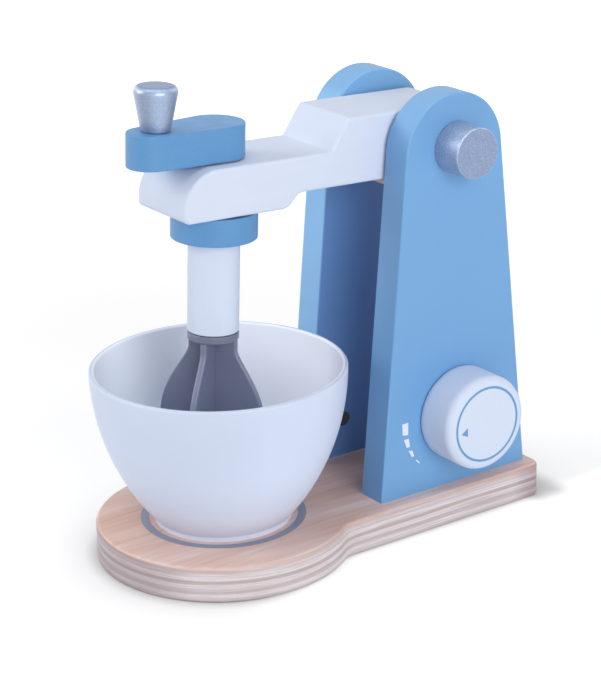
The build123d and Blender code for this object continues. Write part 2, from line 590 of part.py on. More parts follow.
dial_screw_x = washer_x - DIAL_SCREW_HEAD_HEIGHT
recess_span = RECESS_SPAN * DIAL_SCREW_HEAD_RADIUS
recess_width = RECESS_WIDTH * DIAL_SCREW_RADIUS
with BuildPart() as dial_screw:
    with BuildSketch(facing_right(dial_screw_x, DIAL_Y, DIAL_Z)):
        Circle(DIAL_SCREW_HEAD_RADIUS)
    extrude(amount=DIAL_SCREW_HEAD_HEIGHT)
    fillet(dial_screw.edges().sort_by(Axis.X)[0], DIAL_SCREW_HEAD_HEIGHT / 2)
    with BuildSketch(facing_right(dial_screw_x, DIAL_Y, DIAL_Z)):
        Circle(DIAL_SCREW_RADIUS)
    extrude(amount=dial_back + DIAL_SCREW_IN_DIAL - dial_screw_x)
    with BuildSketch(facing_right(dial_screw_x, DIAL_Y, DIAL_Z)):
        Rectangle(recess_span, recess_width)
        Rectangle(recess_width, recess_span)
    extrude(amount=RECESS_DEPTH * DIAL_SCREW_RADIUS, mode=Mode.SUBTRACT)
save(dial_screw, "dial_screw")
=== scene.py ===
"""The looks of a wooden toy kitchen mixer: painted wood, a plywood base, a white bowl and printed marks.

Metres, +Z up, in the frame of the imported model: -Y is the bowl end and +X is the side with the dial.
The patterns and everything else that says nothing about its unit are in millimetres.
"""

import json
from math import radians

import bmesh
import bpy
from mathutils import Matrix, Vector


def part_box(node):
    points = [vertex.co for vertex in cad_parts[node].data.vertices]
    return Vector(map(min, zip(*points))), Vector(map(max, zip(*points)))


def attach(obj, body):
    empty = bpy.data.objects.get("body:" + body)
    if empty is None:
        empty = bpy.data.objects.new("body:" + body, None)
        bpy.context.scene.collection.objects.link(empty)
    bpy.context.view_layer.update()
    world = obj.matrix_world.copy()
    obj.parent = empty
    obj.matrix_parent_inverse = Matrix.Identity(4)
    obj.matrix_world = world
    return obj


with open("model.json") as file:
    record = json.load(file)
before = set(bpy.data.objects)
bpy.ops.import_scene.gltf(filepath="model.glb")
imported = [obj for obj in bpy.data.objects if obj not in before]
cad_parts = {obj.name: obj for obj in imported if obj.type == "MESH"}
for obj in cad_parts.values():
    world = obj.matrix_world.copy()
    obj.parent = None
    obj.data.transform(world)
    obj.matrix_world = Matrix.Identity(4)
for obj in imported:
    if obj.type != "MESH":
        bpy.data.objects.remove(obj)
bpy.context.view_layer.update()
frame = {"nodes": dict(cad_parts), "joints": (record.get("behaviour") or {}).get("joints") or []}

MM = 0.001

# ---------------------------------------------------------------- directions
ACROSS = (1.0, 0.0, 0.0)                 # from one panel to the other, out of the dial's face
ALONG = (0.0, 1.0, 0.0)                  # from the bowl to the back
FORWARD = (0.0, -1.0, 0.0)
UPWARD = (0.0, 0.0, 1.0)

# ---------------------------------------------------------------- camera
CAMERA_PLACE = (0.734476, -0.517632, 0.411310)    # metres
CAMERA_TARGET = (0.013590, -0.011609, 0.082866)
CAMERA_ROLL = -1.242                     # degrees
CAMERA_LENS = 120.557                    # millimetres, as the width of the sensor below
CAMERA_SENSOR = 36.0
CAMERA_CLIP = (0.05, 20.0)               # metres

# ---------------------------------------------------------------- light
WORLD_LIGHT = 0.17           # what the surroundings give to matt surfaces; gloss mirrors them at 1
SOFTBOXES = {
    # name: (place, aim, width and height, all in metres, and power in watts)
    "light_above": ((0.0, 0.0, 1.60), (0.0, 0.0, 0.05), (1.6, 1.6), 12.0),
    "light_front_left": ((-0.90, -1.30, 0.80), (0.0, 0.0, 0.08), (1.0, 1.0), 15.2),
    "light_left": ((-1.60, 0.0, 0.60), (0.0, 0.0, 0.08), (1.0, 1.0), 2.2),
    "light_right": ((1.50, -0.30, 0.60), (0.0, 0.0, 0.08), (1.0, 1.0), 16.2),
    "light_back": ((0.20, 1.50, 1.00), (0.0, 0.0, 0.08), (1.0, 1.0), 3.0),
}

# ---------------------------------------------------------------- floor
FLOOR_SIZE = 8.0                         # metres
FLOOR_LIT = (0.80, 0.80, 0.80)           # the floor as it throws light back at the object
FLOOR_SEEN = (0.42, 0.42, 0.43)          # the floor as it is looked at, with the glow below
FLOOR_GLOW = (0.62, 1.0)                 # beside the object, and far from it
FLOOR_GLOW_REACH = (250.0, 900.0)        # from the middle of the object
FLOOR_BRIGHT_ACROSS = (30.0, 44.0)       # painted light on the floor at the bright side of the object, where it sets in
FLOOR_BRIGHT_ALONG = (-75.0, -35.0)
FLOOR_BRIGHT = 0.15                      # what the glow gains there
FLOOR_SHADES = [
    # how near in metres the object shades the glow, how much, and the share it loses on the bright side
    (0.035, 0.70, 1.0),
    (0.006, 0.95, 0.5),
]
FLOOR_SHADE_SAMPLES = 16
BEHIND_FROM = (84.0, 92.0)               # the painted shadow behind the object, along and across
BEHIND_TO = (112.0, 100.0)
BEHIND_WITHIN = (50.0, 38.0)
BEHIND_SHADE = 0.60
BLACK = (0.0, 0.0, 0.0)
PURE_WHITE = (1.0, 1.0, 1.0)

# ---------------------------------------------------------------- paint
GRAIN_UP = (3.5, 3.5, 70.0)              # size of a streak along X, Y and Z
GRAIN_ALONG = (3.5, 70.0, 3.5)
CLOUD_SIZE = 34.0
SKIN_SIZE = 0.9
PAINT_RELIEF = 0.035
PAINT_COAT_ROUGHNESS = 0.35
BLUE_COAT = 0.3
BLUE_GLOSS = 0.5
WHITE_COAT = 0.0
WHITE_GLOSS = 0.3
BLUE = (0.144, 0.341, 0.631)
DEEP_BLUE = (0.084, 0.260, 0.518)
WHITE = (0.618, 0.677, 0.812)
SHAFT_WHITE = (0.638, 0.706, 0.850)
DIAL_WHITE = (0.618, 0.694, 0.845)
EDGE_HIGHLIGHT = 0.04                        # painted highlight that the rounded edges of the panels gain
BETWEEN_SHADE_TINT = (0.80, 0.73, 0.83)        # painted shade on the paint between the panels, against that outside
BETWEEN_DEPTH = (-4.0, -14.0)            # how far in it sets in
ARCH_LIGHT_TINT = (1.19, 1.17, 1.09)           # painted light on the same faces above the arm
ARCH_RISE = (150.0, 172.0)               # how far up the one becomes the other
TOP_SHEEN_TINT = (1.16, 1.07, 1.0)             # painted sheen on the round tops of the panels
FRONT_SHEEN_TINT = (1.42, 1.30, 1.16)          # painted sheen on the front edge of the left panel
SPECK_SIZE = 0.55                        # flecks in the paint of the crank
BLOT_SIZES = (7.0, 9.0, 7.0)             # blots on its top
DIAL_ROUNDING = 0.004                    # metres
DIAL_ROUNDING_SAMPLES = 8

# ---------------------------------------------------------------- other finishes
SILVER_DARK = (0.190, 0.250, 0.370)
SILVER_LIGHT = (0.345, 0.415, 0.565)
SILVER_SPARK = (0.560, 0.640, 0.780)
FLAKE_SIZE = 0.35
SILVER_GRAIN_SIZE = 0.55
TURNING_SPACING = 0.5                    # from one turned ring to the next
# painted light and shade: the sides of the knobs are lighter, their flat ends darker and tinted
SILVER_SIDE_SHADE = 1.10
# painted highlight on the rims of the flat ends
SILVER_RIM_HIGHLIGHT = 0.25
AXLE_KNOB_END_SHADE_TINT = (0.87, 0.91, 1.0)        # painted shade tints of the flat ends, and their painted shades
AXLE_KNOB_END_SHADE = 0.90
AXLE_KNOB_SPARKLE = 0.45
CRANK_KNOB_END_SHADE_TINT = (0.82, 0.95, 1.17)
CRANK_KNOB_END_SHADE = 0.66
CRANK_KNOB_REFLECTION_BAND = 0.22                   # how strong its painted reflection bands are
KNOB_REFLECTION_WAY = (0.914, -0.407, 0.0)     # the way that one of them faces
GREY = (0.165, 0.185, 0.275)
WHISK_PEG = 16.2                         # from the top of the whisk, in the shaft, down to its blades
WHISK_LOW_LIGHT_REACH = (11.0, 27.0)          # from the top of the blades down to where the painted light on them sets in
WHISK_LOW_LIGHT = 0.13
BOWL_WHITE = (0.634, 0.708, 0.880)
# painted light: the inside is whiter than the outside
BOWL_INSIDE_LIT = (0.870, 0.915, 1.0)
BOWL_MOUTH_DEPTH = 5.0                   # from the rim down to the point that the inside faces
BOWL_INSIDE_REACH = (5.0, -12.0)         # how far a face lies in front of that point or behind it
BOWL_RISE = (25.0, 75.0)                 # up the outside, and the painted light and shade at its ends
BOWL_RISE_SHADES = (0.02, -0.05)
# painted shade on the top of the rim
BOWL_RIM_SHADE = 0.10
BOWL_FRONT = (0.819, -0.574, 0.0)        # the way that the front of the bowl with its painted shade faces
BOWL_FRONT_SHADE = 0.045
# painted light: warm light thrown back from the plywood onto the foot
BOWL_FOOT_BOUNCE_TINT = (1.09, 1.045, 1.02)
BOWL_FOOT_REACH = (36.0, 22.0)           # how far up the tint sets in
BASE_THICKNESS = 15.0
# end grain, with painted shade, on the edges at the front and back of the base
END_GRAIN_AND_SHADE_TINT = (0.74, 0.71, 0.73)
# painted shade on the plies at the back end
BASE_BACK_SHADE_TINT = (0.68, 0.61, 0.63)
BASE_BACK_SHADE_REACH = (76.0, 91.0)          # how far back from the middle the painted shade sets in
# painted shade on the veneer between the panels
BASE_BETWEEN_SHADE_TINT = (0.58, 0.61, 0.67)
BASE_BETWEEN_SHADE_REACH = (-8.0, 30.0)           # the same of the painted shade between the panels
BASE_BETWEEN_SHADE_WITHIN = (20.0, 16.0)          # how far to the sides it ends
VENEER = [
    (0.0, (0.590, 0.376, 0.300)), (0.40, (0.674, 0.463, 0.391)), (0.7, (0.704, 0.512, 0.454)),
    (1.0, (0.778, 0.620, 0.570)),
]
VENEER_FIBRE = (0.470, 0.288, 0.232)
FIGURE_SIZES = (16.0, 110.0, 30.0)
STREAK_SIZES = (2.2, 40.0, 30.0)
FIBRE_SIZES = (0.45, 11.0, 9.0)
PLIES = [                                # from the underside, where 0 is, to the top face
    (0.00, (0.530, 0.480, 0.510)), (0.13, (0.560, 0.500, 0.530)), (0.15, (0.710, 0.640, 0.660)),
    (0.24, (0.710, 0.635, 0.655)), (0.26, (0.540, 0.470, 0.490)), (0.38, (0.530, 0.460, 0.480)),
    (0.40, (0.695, 0.630, 0.645)), (0.51, (0.710, 0.650, 0.665)), (0.53, (0.470, 0.380, 0.375)),
    (0.62, (0.510, 0.430, 0.440)), (0.64, (0.725, 0.675, 0.700)), (0.74, (0.725, 0.675, 0.700)),
    (0.77, (0.545, 0.475, 0.495)), (0.81, (0.660, 0.580, 0.595)), (0.92, (0.590, 0.455, 0.435)),
]
PLY_WAVE_SIZES = (34.0, 34.0, 60.0)
PLY_WAVE = 1.2                           # how far the plies wave up and down
PLY_PALE_LINE = (0.860, 0.830, 0.870)
PLY_PALE_SIZES = (90.0, 90.0, 1.3)
PLY_FINE_LINE = (0.400, 0.320, 0.320)
PLY_FINE_SIZES = (16.0, 16.0, 0.30)
PLY_DARK_LINE = (0.400, 0.310, 0.300)
PLY_DARK_SIZES = (40.0, 40.0, 0.9)
PLY_STAIN = (0.560, 0.380, 0.330)
PLY_STAIN_SIZES = (26.0, 26.0, 2.6)
PLY_PORE = (0.400, 0.320, 0.320)
PLY_PORE_SIZES = (0.45, 0.45, 1.1)
END_GRAIN = (0.540, 0.470, 0.490)
DOWEL_DARK = (0.520, 0.410, 0.350)
DOWEL_LIGHT = (0.640, 0.540, 0.480)
DOWEL_PORE = (0.360, 0.250, 0.190)
PLUG_DARK = (0.042, 0.042, 0.055)
PLUG_LIGHT = (0.085, 0.080, 0.098)
STEEL_DARK = (0.48, 0.48, 0.47)
STEEL_LIGHT = (0.66, 0.66, 0.65)

# ---------------------------------------------------------------- printed marks
INKS = {
    # name: (colour, share of it that is left where it covers worst)
    "blue_ink": ((0.115, 0.300, 0.560), 0.90),
    "grey_ink": ((0.255, 0.285, 0.385), 0.86),
    "white_ink": ((0.720, 0.790, 0.900), 0.88),
}
INK_PROUD = 0.05
INK_SUNK = 0.05
BASE_RING = (30.4, 33.8)                 # radii, round the bowl
DIAL_RING = (15.2, 16.2)
DIAL_POINTER = [(-13.4, -1.5), (-10.2, 0.7), (-10.0, -3.1)]    # back and up from the middle
SCALE_BLOCKS = [                         # corners, back and up from the middle of the dial
    [(-29.1, 1.0), (-26.0, 1.1), (-26.1, -4.4), (-28.9, -3.9)],
    [(-28.3, -6.0), (-25.8, -6.0), (-25.2, -9.7), (-26.8, -9.9)],
    [(-25.9, -11.5), (-24.0, -11.8), (-23.0, -14.5), (-24.1, -14.7)],
    [(-22.2, -16.6), (-21.6, -16.5), (-19.8, -18.4), (-20.6, -18.3)],
]
ROUND_STEPS = 160
WELD = 0.001                             # points closer than this become one
SHARP_ANGLE = 35.0                       # degrees between faces that meet in a sharp rim


# ---------------------------------------------------------------- shader nodes
class Wire:
    """An output of a shader node. Python's operators on it add the nodes that work out the sum."""

    def __init__(self, nodes, socket):
        self.nodes = nodes
        self.socket = socket

    def sum(self, operation, *values):
        return self.nodes.node("ShaderNodeMath", {"operation": operation}, dict(enumerate(values)))

    def __add__(self, other):
        return self.sum("ADD", self, other)

    def __radd__(self, other):
        return self.sum("ADD", other, self)

    def __sub__(self, other):
        return self.sum("SUBTRACT", self, other)

    def __rsub__(self, other):
        return self.sum("SUBTRACT", other, self)

    def __mul__(self, other):
        return self.sum("MULTIPLY", self, other)

    def __rmul__(self, other):
        return self.sum("MULTIPLY", other, self)

    def __truediv__(self, other):
        return self.sum("DIVIDE", self, other)

    def __rtruediv__(self, other):
        return self.sum("DIVIDE", other, self)

    def __abs__(self):
        return self.sum("ABSOLUTE", self)


class Nodes:
    """A tree of shader nodes while it is made."""

    def __init__(self, tree):
        self.tree = tree
        tree.nodes.clear()

    def node(self, kind, settings=None, sockets=None, output=0):
        """Add a node: its settings are set first, then the values or links of its sockets."""
        made = self.tree.nodes.new(kind)
        for name, value in (settings or {}).items():
            if name == "stops":
                set_stops(made.color_ramp, value)
            else:
                setattr(made, name, value)
        for name, value in (sockets or {}).items():
            if isinstance(value, Wire):
                self.tree.links.new(value.socket, made.inputs[name])
            else:
                made.inputs[name].default_value = value
        return Wire(self, made.outputs[output]) if made.outputs else None


class Finish(Nodes):
    """A material while it is made: its nodes, its place in millimetres and its Principled shader."""

    def __init__(self, name):
        self.material = bpy.data.materials.new(name)
        self.material.use_nodes = True
        super().__init__(self.material.node_tree)
        metres = self.node("ShaderNodeTexCoord", output="Object")
        self.place = self.scaled(metres, 1 / MM)
        self.facing = self.node("ShaderNodeTexCoord", output="Normal")

    def along(self, vector, axis):
        """How much of a vector lies along an axis."""
        return self.node("ShaderNodeVectorMath", {"operation": "DOT_PRODUCT"}, {0: vector, 1: axis},
                         output="Value")

    def scaled(self, vector, scale):
        """A colour or vector times a number."""
        return self.node("ShaderNodeVectorMath", {"operation": "SCALE"}, {0: vector, "Scale": scale})

    def in_cells(self, sizes):
        """The place counted in cells of these sizes along X, Y and Z, or of one size all ways."""
        if isinstance(sizes, float):
            sizes = (sizes, sizes, sizes)
        return self.node("ShaderNodeVectorMath", {"operation": "DIVIDE"}, {0: self.place, 1: sizes})

    def noise(self, sizes, detail=3.0, roughness=0.5, distortion=0.0, shift=0.0):
        """Noise from 0 to 1 with features of these sizes."""
        place = self.in_cells(sizes)
        if shift:
            place = self.node("ShaderNodeVectorMath", {"operation": "ADD"},
                              {0: place, 1: (shift, shift, shift)})
        return self.node("ShaderNodeTexNoise", None,
                         {"Vector": place, "Scale": 1.0, "Detail": detail, "Roughness": roughness,
                          "Distortion": distortion})

    def ramp(self, value, low, high, to_low=0.0, to_high=1.0):
        """A smooth step of a value from low to high."""
        return self.node("ShaderNodeMapRange", {"interpolation_type": "SMOOTHSTEP"},
                         {"Value": value, "From Min": low, "From Max": high, "To Min": to_low,
                          "To Max": to_high})

    def stops(self, value, stops):
        """A colour ramp with stops of (place, colour)."""
        return self.node("ShaderNodeValToRGB", {"stops": stops}, {"Fac": value})

    def mix(self, share, colour_a, colour_b, blend="MIX"):
        """From colour_a to colour_b by a share of 0 to 1."""
        return self.node("ShaderNodeMix", {"data_type": "RGBA", "blend_type": blend},
                         {0: share, 6: opaque(colour_a), 7: opaque(colour_b)}, output=2)

    def over(self, colour, mark, pattern, low, high, share):
        """A colour with a share of a mark's colour where a pattern goes from low to high."""
        return self.mix(self.ramp(pattern, low, high) * share, colour, mark)

    def multiplied(self, colour, share, tint):
        """A colour that is multiplied by a tint where the share is 1."""
        return self.mix(share, colour, tint, "MULTIPLY")

    def away(self, place):
        """The way from a place, in millimetres, to the point that is shaded."""
        return self.node("ShaderNodeVectorMath", {"operation": "SUBTRACT"}, {0: self.place, 1: place})

    def bump(self, height, distance, **sockets):
        """A normal that shows a height of 0 to 1 over this distance in millimetres."""
        return self.node("ShaderNodeBump", None, {"Height": height, "Distance": distance * MM, **sockets})

    def close(self, colour, roughness, normal=None, **sockets):
        """Join it all in the Principled shader and give the material."""
        values = {"Base Color": opaque(colour), "Roughness": roughness}
        values.update({name.replace("_", " "): value for name, value in sockets.items()})
        if normal:
            values["Normal"] = normal
        shader = self.node("ShaderNodeBsdfPrincipled", None, values)
        self.node("ShaderNodeOutputMaterial", None, {"Surface": shader})
        return self.material


def set_stops(ramp, stops):
    """Give a colour ramp its stops."""
    while len(ramp.elements) < len(stops):
        ramp.elements.new(1.0)
    for element, (place, colour) in zip(ramp.elements, stops):
        element.position = place
        element.color = opaque(colour)


def opaque(colour):
    """A colour with its fourth number, or a link as it is."""
    return colour if isinstance(colour, Wire) else (*colour, 1.0)


# ---------------------------------------------------------------- painted wood
class Paint(Finish):
    """Matt lacquer on wood, with faint clouds and with streaks along the grain."""

    def __init__(self, name, colour, grain, shift):
        super().__init__(name)
        self.colour = colour
        self.shift = shift
        self.clouds = self.noise(CLOUD_SIZE, 2.0)
        self.streaks = self.noise(grain, 4.0, 0.6, shift=shift)
        self.skin = self.noise(SKIN_SIZE, 2.0, 0.55)
        self.shade = 0.955 + self.clouds * 0.05 + self.streaks * 0.04

    def tint(self, share, tint):
        """Tint the colour where the share is 1."""
        self.colour = self.multiplied(self.colour, share, tint)

    def dry(self, coat, gloss, **under):
        """Give the material. A normal that lies under its relief is passed as Normal."""
        relief = self.bump(self.skin * 0.6 + self.streaks * 0.8, PAINT_RELIEF, **under)
        roughness = 0.52 + self.clouds * 0.08 + self.skin * 0.05
        return self.close(self.scaled(self.colour, self.shade), roughness, relief, Coat_Weight=coat,
                          Coat_Roughness=PAINT_COAT_ROUGHNESS, Specular_IOR_Level=gloss)


def panel_blue(name, shift, front_sheen=None):
    """Blue of a side panel: painted highlights on its edges, painted sheen on its top, painted shade and
    light between the panels.
    """
    paint = Paint(name, BLUE, GRAIN_UP, shift)
    # painted highlight on the rounded edges, which face between the flat faces
    towards = abs(paint.along(paint.facing, ACROSS))
    edge = paint.ramp(towards, 0.15, 0.5) * paint.ramp(towards, 0.97, 0.8)
    paint.shade = paint.shade + edge * EDGE_HIGHLIGHT
    # painted sheen on the faces that look forward, on the left panel only
    if front_sheen:
        paint.tint(paint.ramp(paint.along(paint.facing, FORWARD), 0.6, 0.9), front_sheen)
    # painted sheen on the faces that look up
    paint.tint(paint.ramp(paint.along(paint.facing, UPWARD), 0.4, 0.9), TOP_SHEEN_TINT)
    inward = paint.along(paint.place, ACROSS) * paint.along(paint.facing, ACROSS)
    between = paint.ramp(inward, *BETWEEN_DEPTH)
    above = paint.ramp(paint.along(paint.place, UPWARD), *ARCH_RISE)
    # painted shade on the faces between the panels, below the arm
    paint.tint(between * (1.0 - above), BETWEEN_SHADE_TINT)
    # painted light on the faces between the panels, above the arm
    paint.tint(between * above, ARCH_LIGHT_TINT)
    return paint.dry(BLUE_COAT, BLUE_GLOSS)


def crank_blue(name, spindle_axis):
    """Deep blue of the crank and the collar, with fine flecks and a painted sheen on the top, broken by
    darker blots.
    """
    paint = Paint(name, DEEP_BLUE, GRAIN_ALONG, 3.0)
    specks = paint.noise(SPECK_SIZE, 2.0, 0.6, shift=paint.shift)
    blots = paint.noise(BLOT_SIZES, 3.0, 0.55)
    top = paint.ramp(paint.along(paint.facing, spindle_axis), 0.80, 0.98)
    # painted sheen on the faces that look along the spindle, less where the blots lie
    paint.shade = (paint.shade - paint.ramp(specks, 0.52, 0.70) * 0.09
                   + top * (0.10 - paint.ramp(blots, 0.35, 0.62) * 0.14))
    return paint.dry(BLUE_COAT, BLUE_GLOSS)


def white_paint(name, colour, grain, shift):
    """White of the arm and the shaft."""
    return Paint(name, colour, grain, shift).dry(WHITE_COAT, WHITE_GLOSS)


def dial_white(name):
    """White of the dial, whose rim is softly rounded."""
    paint = Paint(name, DIAL_WHITE, GRAIN_UP, 9.0)
    soft = paint.node("ShaderNodeBevel", {"samples": DIAL_ROUNDING_SAMPLES}, {"Radius": DIAL_ROUNDING})
    return paint.dry(WHITE_COAT, WHITE_GLOSS, Normal=soft)


# ---------------------------------------------------------------- other finishes
def silver(name, ring_axis, end_shade, end_shade_tint, sparkle=0.0, reflection_band=0.0):
    """Metallic paint with fine flakes over the rings that turning left round an axis, with painted shade
    and highlights.
    """
    finish = Finish(name)
    flakes = finish.node("ShaderNodeTexVoronoi", None,
                         {"Vector": finish.in_cells(FLAKE_SIZE), "Scale": 1.0}, output="Color")
    spark = finish.along(flakes, ACROSS)
    tone = finish.along(flakes, ALONG)
    grain = finish.noise(SILVER_GRAIN_SIZE, 3.0, 0.65)
    ring = finish.along(finish.place, ring_axis) / TURNING_SPACING
    rings = finish.node("ShaderNodeTexNoise", {"noise_dimensions": "1D"},
                        {"W": ring, "Scale": 1.0, "Detail": 2.0})
    towards = abs(finish.along(finish.facing, ring_axis))
    end = finish.ramp(towards, 0.60, 0.95)
    colour = finish.mix(tone * 0.4 + grain * 0.3 + rings * 0.3, SILVER_DARK, SILVER_LIGHT)
    if sparkle:
        colour = finish.over(colour, SILVER_SPARK, spark, 0.78, 0.92, sparkle)
    # painted shade on the flat ends: their tint here, and below the sides lighter and the ends darker
    colour = finish.multiplied(colour, end, end_shade_tint)
    # painted highlight on the rims of the flat ends
    rim = finish.ramp(towards, 0.25, 0.60) * finish.ramp(towards, 0.97, 0.85)
    shade = SILVER_SIDE_SHADE - end * (SILVER_SIDE_SHADE - end_shade) + rim * SILVER_RIM_HIGHLIGHT
    if reflection_band:
        # four soft painted reflection bands down the knob's side: two lie this way and the opposite way,
        # two square to it
        face = finish.along(finish.facing, KNOB_REFLECTION_WAY)
        square = face * face
        bands = square * (square - 1.0) * 8.0 + 1.0
        shade = shade + bands * (1.0 - end) * reflection_band
    relief = finish.bump(spark * 0.5 + grain * 0.7 + rings, 0.02)
    return finish.close(finish.scaled(colour, shade), 0.30 + spark * 0.14, relief, Metallic=0.45,
                        Coat_Weight=0.25, Coat_Roughness=0.30)


def plywood(name):
    """Birch plywood: veneer with its grain along Y on the faces, bands of plies round the edge."""
    finish = Finish(name)
    # the face veneer
    figure = finish.noise(FIGURE_SIZES, 3.0, 0.55, 0.8)
    streaks = finish.noise(STREAK_SIZES, 4.0, 0.58, 0.2)
    fibres = finish.noise(FIBRE_SIZES, 3.0, 0.6)
    veneer = finish.stops(finish.ramp(figure * 0.6 + streaks * 0.4, 0.30, 0.72), VENEER)
    veneer = finish.over(veneer, VENEER_FIBRE, fibres, 0.56, 0.75, 0.20)
    # the plies
    wave = finish.noise(PLY_WAVE_SIZES)
    ply = (finish.along(finish.place, UPWARD) + (wave - 0.5) * PLY_WAVE) / BASE_THICKNESS
    fine = finish.noise(PLY_FINE_SIZES, 4.0, 0.7)
    dark = finish.noise(PLY_DARK_SIZES, 2.0)
    pale = finish.noise(PLY_PALE_SIZES, 2.0, shift=4.0)
    pores = finish.noise(PLY_PORE_SIZES, 3.0, 0.6)
    stains = finish.noise(PLY_STAIN_SIZES, 2.0) * finish.ramp(ply, 0.72, 0.88)
    bands = finish.stops(ply, PLIES)
    bands = finish.over(bands, PLY_PALE_LINE, pale, 0.52, 0.66, 0.22)
    bands = finish.over(bands, PLY_FINE_LINE, fine, 0.42, 0.66, 0.42)
    bands = finish.over(bands, PLY_DARK_LINE, dark, 0.55, 0.65, 0.34)
    bands = finish.over(bands, PLY_STAIN, stains, 0.48, 0.68, 0.55)
    bands = finish.over(bands, PLY_PORE, pores, 0.55, 0.75, 0.18)
    # end grain, where the edge faces along the grain of the veneer, with painted shade on those front and
    # back edges
    end_grain = finish.ramp(abs(finish.along(finish.facing, ALONG)), 0.70, 0.95)
    bands = finish.mix(end_grain * 0.12, bands, END_GRAIN)
    bands = finish.multiplied(bands, end_grain, END_GRAIN_AND_SHADE_TINT)
    # painted shade on the plies at the back end, and on the veneer between the panels
    rearward = finish.along(finish.place, ALONG)
    bands = finish.multiplied(bands, finish.ramp(rearward, *BASE_BACK_SHADE_REACH), BASE_BACK_SHADE_TINT)
    between = finish.ramp(abs(finish.along(finish.place, ACROSS)), *BASE_BETWEEN_SHADE_WITHIN)
    veneer = finish.multiplied(veneer, between * finish.ramp(rearward, *BASE_BETWEEN_SHADE_REACH), BASE_BETWEEN_SHADE_TINT)
    face = finish.ramp(abs(finish.along(finish.facing, UPWARD)), 0.55, 0.85)
    relief = finish.bump(fibres * 0.5 + streaks * 0.5 + fine * 0.6, 0.05)
    return finish.close(finish.mix(face, bands, veneer), 0.44 + fibres * 0.12, relief)


def bare_wood(name):
    """Turned beech dowel, with its grain along X."""
    finish = Finish(name)
    streaks = finish.noise((30.0, 0.6, 0.6), 4.0, 0.6)
    pores = finish.noise((3.0, 0.18, 0.18), 2.0)
    colour = finish.mix(finish.ramp(streaks, 0.35, 0.70), DOWEL_DARK, DOWEL_LIGHT)
    colour = finish.over(colour, DOWEL_PORE, pores, 0.60, 0.72, 0.4)
    return finish.close(colour, 0.55, finish.bump(streaks + pores, 0.04))


def dark_wood(name):
    """Dark brown plug."""
    finish = Finish(name)
    streaks = finish.noise((0.5, 5.0, 0.5), 4.0, 0.6)
    colour = finish.mix(streaks, PLUG_DARK, PLUG_LIGHT)
    return finish.close(colour, 0.5, finish.bump(streaks, 0.03))


def grey_paint(name):
    """Grey satin paint of the whisk, with painted light on the blades, most along their edges and low down.
    """
    finish = Finish(name)
    clouds = finish.noise(16.0)
    skin = finish.noise(0.7, 3.0, 0.55)
    from_axis = finish.node("ShaderNodeVectorMath", {"operation": "MULTIPLY"},
                            {0: finish.away(middle("whisk") / MM), 1: (1.0, 1.0, 0.0)})
    outward = finish.ramp(finish.along(from_axis, finish.facing), 2.5, 5.0)
    below_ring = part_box("whisk")[1].z / MM - WHISK_PEG - finish.along(finish.place, UPWARD)
    blades = finish.ramp(below_ring, -0.3, 0.3)
    # painted light: the blades lighter than the ring above them, more on their outward edges and low down
    shade = (0.77 + clouds * 0.16 + skin * 0.06 + blades * (0.11 + outward * 0.08)
             + finish.ramp(below_ring, *WHISK_LOW_LIGHT_REACH) * WHISK_LOW_LIGHT)
    return finish.close(finish.scaled(GREY, shade), 0.34 + clouds * 0.10, finish.bump(skin, 0.03),
                        Coat_Weight=0.1, Coat_Roughness=0.2)


def bowl_white(name):
    """Smooth satin white of the bowl, with painted light inside and at the foot, and painted shade in
    front, on the rim and up the outside.
    """
    finish = Finish(name)
    clouds = finish.noise(40.0, 2.0)
    skin = finish.noise(1.1, 2.0)
    mouth = middle("bowl") / MM
    mouth.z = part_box("bowl")[1].z / MM - BOWL_MOUTH_DEPTH
    inside = finish.ramp(finish.along(finish.away(mouth), finish.facing), *BOWL_INSIDE_REACH)
    level = finish.along(finish.place, UPWARD)
    # painted shade on the middle of the front
    front = finish.ramp(finish.along(finish.facing, BOWL_FRONT), 0.5, 0.95) * BOWL_FRONT_SHADE
    # painted light low on the outside, painted shade higher up
    rise = finish.ramp(level, *BOWL_RISE, *BOWL_RISE_SHADES)
    # painted shade on the top of the rim
    rim = finish.ramp(finish.along(finish.facing, UPWARD), 0.35, 0.80) * BOWL_RIM_SHADE
    shade = 0.97 + clouds * 0.05 + (rise - front - rim) * (1.0 - inside)
    # painted light from the plywood on the foot
    outside = finish.multiplied(BOWL_WHITE, finish.ramp(level, *BOWL_FOOT_REACH), BOWL_FOOT_BOUNCE_TINT)
    # painted light inside the bowl
    colour = finish.scaled(finish.mix(inside, outside, BOWL_INSIDE_LIT), shade)
    return finish.close(colour, 0.46 + clouds * 0.08, finish.bump(skin, 0.012))


def steel(name):
    """Zinc-plated steel with fine turning marks."""
    finish = Finish(name)
    marks = finish.noise(0.25, 3.0, 0.6)
    colour = finish.mix(marks, STEEL_DARK, STEEL_LIGHT)
    return finish.close(colour, 0.26 + marks * 0.2, finish.bump(marks, 0.01), Metallic=1.0)


def ink(name, colour, cover):
    """Printed ink with faint breaks."""
    finish = Finish(name)
    specks = finish.noise(0.5, 3.0, 0.6)
    clouds = finish.noise((9.0, 30.0, 9.0), 2.0)
    shade = cover + specks * (1.0 - cover) + clouds * 0.08
    return finish.close(finish.scaled(colour, shade), 0.40, finish.bump(specks, 0.01))


# ---------------------------------------------------------------- stage
def place_looking(thing, place, aim, roll=0.0):
    """Put a camera or a lamp at a place and turn it to look at its aim."""
    bpy.context.scene.collection.objects.link(thing)
    view = Vector(aim) - Vector(place)
    turned = view.to_track_quat("-Z", "Y").to_matrix().to_4x4() @ Matrix.Rotation(radians(roll), 4, "Z")
    thing.matrix_world = Matrix.Translation(place) @ turned


